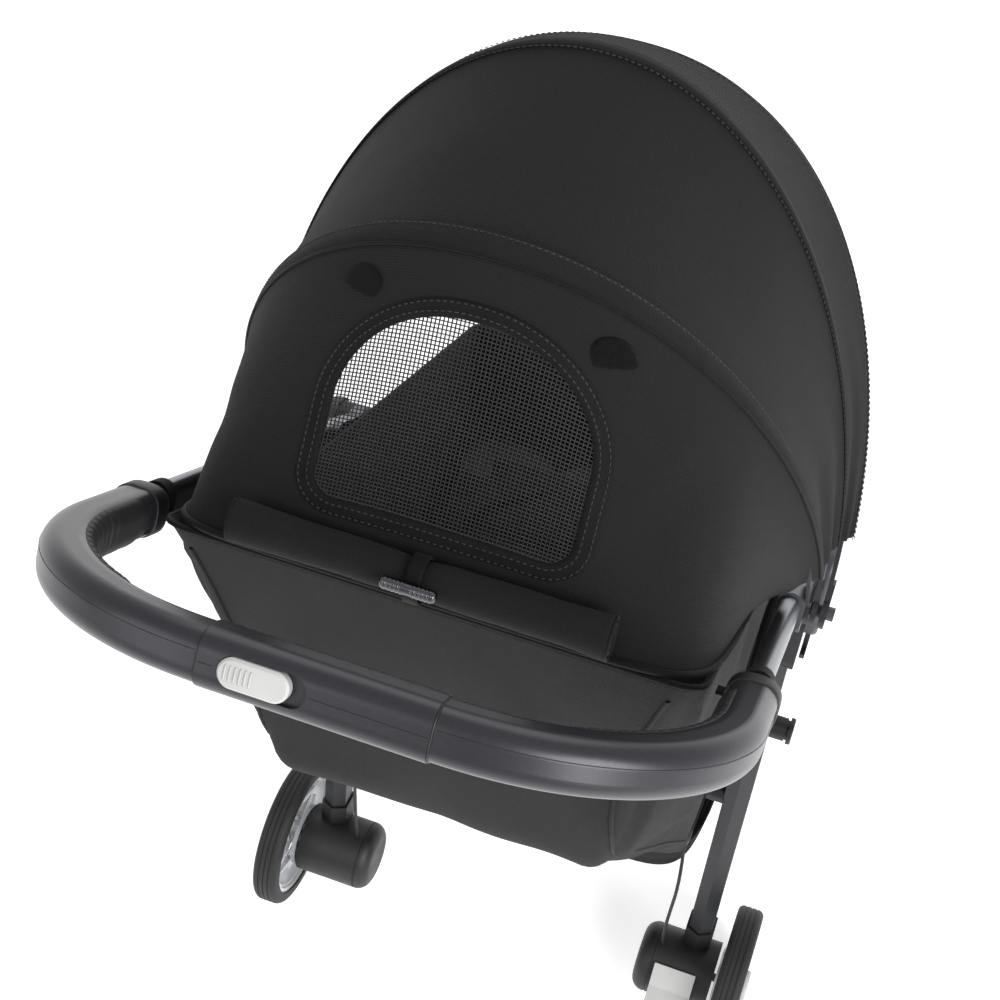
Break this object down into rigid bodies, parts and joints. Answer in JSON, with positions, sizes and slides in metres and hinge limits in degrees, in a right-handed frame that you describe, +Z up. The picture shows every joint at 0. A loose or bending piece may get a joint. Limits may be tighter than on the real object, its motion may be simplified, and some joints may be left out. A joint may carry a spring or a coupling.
{
  "type": "pet stroller",
  "caption": "Folding pet stroller with a hooded fabric cabin, rear mesh window, one-hand handlebar, braked rear wheels, swivel front casters and an under basket.",
  "frame": {"origin": "on the ground under the middle of the bounding box", "axes": "+Z up, front toward -Y, the pushing person's left toward +X"},
  "size_m": [0.492, 0.8099, 1.0404],
  "materials": {
    "leg_paint": "satin powder coat",
    "tube_anodised": "satin anodised",
    "handle_plastic": "satin metallic moulded plastic",
    "grip_rubber": "matte",
    "pale_plastic": "satin",
    "grey_plastic": "satin",
    "black_plastic": "fine moulded grain",
    "silver_rim": "silver lacquer",
    "black_tyre": "matte",
    "pin_steel": "brushed",
    "hoop_steel": "black coated spring steel",
    "charcoal_fabric": "tight plain weave",
    "black_mesh": "open mesh",
    "liner_fabric": "padded weave"
  },
  "bodies": {
    "frame": {"front_leg_left": "leg_paint", "front_leg_right": "leg_paint", "caster_socket_left": "black_plastic", "caster_socket_right": "black_plastic", "front_cross_tube": "leg_paint", "hinge_pins": "pin_steel", "hinge_housing_left": "grey_plastic", "hinge_housing_right": "grey_plastic", "cabin_back": "charcoal_fabric", "cabin_sides": "charcoal_fabric", "cabin_front": "charcoal_fabric", "cabin_floor": "black_plastic", "cabin_cushion": "liner_fabric", "safety_tether": "liner_fabric", "under_basket": "charcoal_fabric"},
    "handle": {"handle_tube_left": "tube_anodised", "handle_tube_right": "tube_anodised", "grip_shell_left": "handle_plastic", "grip_shell_right": "handle_plastic", "grip_pad_left": "grip_rubber", "grip_pad_right": "grip_rubber", "handle_centre_upper": "handle_plastic", "handle_centre_lower": "handle_plastic", "canopy_clamp_left": "grey_plastic", "canopy_clamp_right": "grey_plastic", "canopy_rear_hoop": "hoop_steel", "canopy_rear_panel": "charcoal_fabric", "window_mesh": "black_mesh", "window_flap": "charcoal_fabric", "flap_toggle": "pin_steel", "corner_straps": "liner_fabric"},
    "canopy_mid": {"canopy_mid_hoop": "hoop_steel", "canopy_main_panel": "charcoal_fabric"},
    "canopy_front": {"canopy_front_hoop": "hoop_steel", "canopy_front_panel": "charcoal_fabric"},
    "slide_button": {"slide_button": "pale_plastic"},
    "fold_trigger": {"fold_trigger": "black_plastic"},
    "fold_latch_hook": {"fold_latch_hook": "black_plastic"},
    "rear_legs": {"rear_leg_left": "leg_paint", "rear_leg_right": "leg_paint", "rear_cross_tube": "leg_paint", "brake_housing_left": "black_plastic", "brake_housing_right": "black_plastic", "accessory_stud": "black_plastic", "brake_cable": "grip_rubber"},
    "brake_pedal": {"brake_pedal": "pale_plastic"},
    "brake_pin_left": {"brake_pin_left": "pin_steel"},
    "brake_pin_right": {"brake_pin_right": "pin_steel"},
    "rear_wheel_left": {"rear_tyre_left": "black_tyre", "rear_rim_left": "silver_rim", "rear_hub_cap_left": "pale_plastic"},
    "rear_wheel_right": {"rear_tyre_right": "black_tyre", "rear_rim_right": "silver_rim", "rear_hub_cap_right": "pale_plastic"},
    "caster_left": {"caster_fork_left": "black_plastic"},
    "caster_right": {"caster_fork_right": "black_plastic"},
    "front_wheel_left": {"front_tyre_left": "black_tyre", "front_rim_left": "silver_rim"},
    "front_wheel_right": {"front_tyre_right": "black_tyre", "front_rim_right": "silver_rim"}
  },
  "joints": [
    {"name": "handle_fold", "type": "hinge", "parent": "frame", "child": "handle", "pos_m": [0, -0.0049, 0.567], "axis": [1, 0, 0], "range_deg": [0, 120], "deforming": ["cabin_back", "cabin_sides", "cabin_front", "under_basket"]},
    {"name": "rear_leg_fold", "type": "hinge", "parent": "frame", "child": "rear_legs", "pos_m": [0, -0.0049, 0.567], "axis": [-1, 0, 0], "range_deg": [0, 36]},
    {"name": "canopy_mid_fold", "type": "hinge", "parent": "handle", "child": "canopy_mid", "pos_m": [0, 0.0891, 0.668], "axis": [-1, 0, 0], "range_deg": [0, 24], "deforming": ["canopy_main_panel", "canopy_front_panel"]},
    {"name": "canopy_front_fold", "type": "hinge", "parent": "canopy_mid", "child": "canopy_front", "pos_m": [0, 0.0891, 0.668], "axis": [-1, 0, 0], "range_deg": [0, 9]},
    {"name": "button_slide", "type": "slide", "parent": "handle", "child": "slide_button", "axis": [-1, 0, 0], "range_m": [0, 0.008], "stiffness_N_per_m": 250},
    {"name": "trigger_squeeze", "type": "slide", "parent": "handle", "child": "fold_trigger", "axis": [0, 0.6794, 0.7337], "range_m": [0, 0.005], "stiffness_N_per_m": 400},
    {"name": "latch_hook_swing", "type": "hinge", "parent": "frame", "child": "fold_latch_hook", "pos_m": [-0.207, 0.01446, 0.51233], "axis": [1, 0, 0], "range_deg": [0, 25], "stiffness_Nm_per_rad": 0.02},
    {"name": "brake_pedal_press", "type": "hinge", "parent": "rear_legs", "child": "brake_pedal", "pos_m": [-0.177, 0.1841, 0.0745], "axis": [-1, 0, 0], "range_deg": [0, 15]},
    {"name": "brake_pin_left_slide", "type": "slide", "parent": "rear_legs", "child": "brake_pin_left", "axis": [1, 0, 0], "range_m": [0, 0.004]},
    {"name": "brake_pin_right_slide", "type": "slide", "parent": "rear_legs", "child": "brake_pin_right", "axis": [-1, 0, 0], "range_m": [0, 0.004]},
    {"name": "rear_wheel_left_spin", "type": "hinge", "parent": "rear_legs", "child": "rear_wheel_left", "pos_m": [0.229, 0.1841, 0.0745], "axis": [1, 0, 0], "continuous": true},
    {"name": "caster_left_swivel", "type": "hinge", "parent": "frame", "child": "caster_left", "pos_m": [0.188, -0.3719, 0.1396], "axis": [0, 0, 1], "continuous": true},
    {"name": "front_wheel_left_spin", "type": "hinge", "parent": "caster_left", "child": "front_wheel_left", "pos_m": [0.188, -0.3399, 0.065], "axis": [1, 0, 0], "continuous": true},
    {"name": "rear_wheel_right_spin", "type": "hinge", "parent": "rear_legs", "child": "rear_wheel_right", "pos_m": [-0.229, 0.1841, 0.0745], "axis": [1, 0, 0], "continuous": true},
    {"name": "caster_right_swivel", "type": "hinge", "parent": "frame", "child": "caster_right", "pos_m": [-0.188, -0.3719, 0.1396], "axis": [0, 0, 1], "continuous": true},
    {"name": "front_wheel_right_spin", "type": "hinge", "parent": "caster_right", "child": "front_wheel_right", "pos_m": [-0.188, -0.3399, 0.065], "axis": [1, 0, 0], "continuous": true}
  ],
  "couplings": [
    {"joint": "rear_leg_fold", "follows": "handle_fold", "ratio": 0.3},
    {"joint": "brake_pin_left_slide", "follows": "brake_pedal_press", "m_per_rad": 0.015279},
    {"joint": "brake_pin_right_slide", "follows": "brake_pedal_press", "m_per_rad": 0.015279}
  ]
}
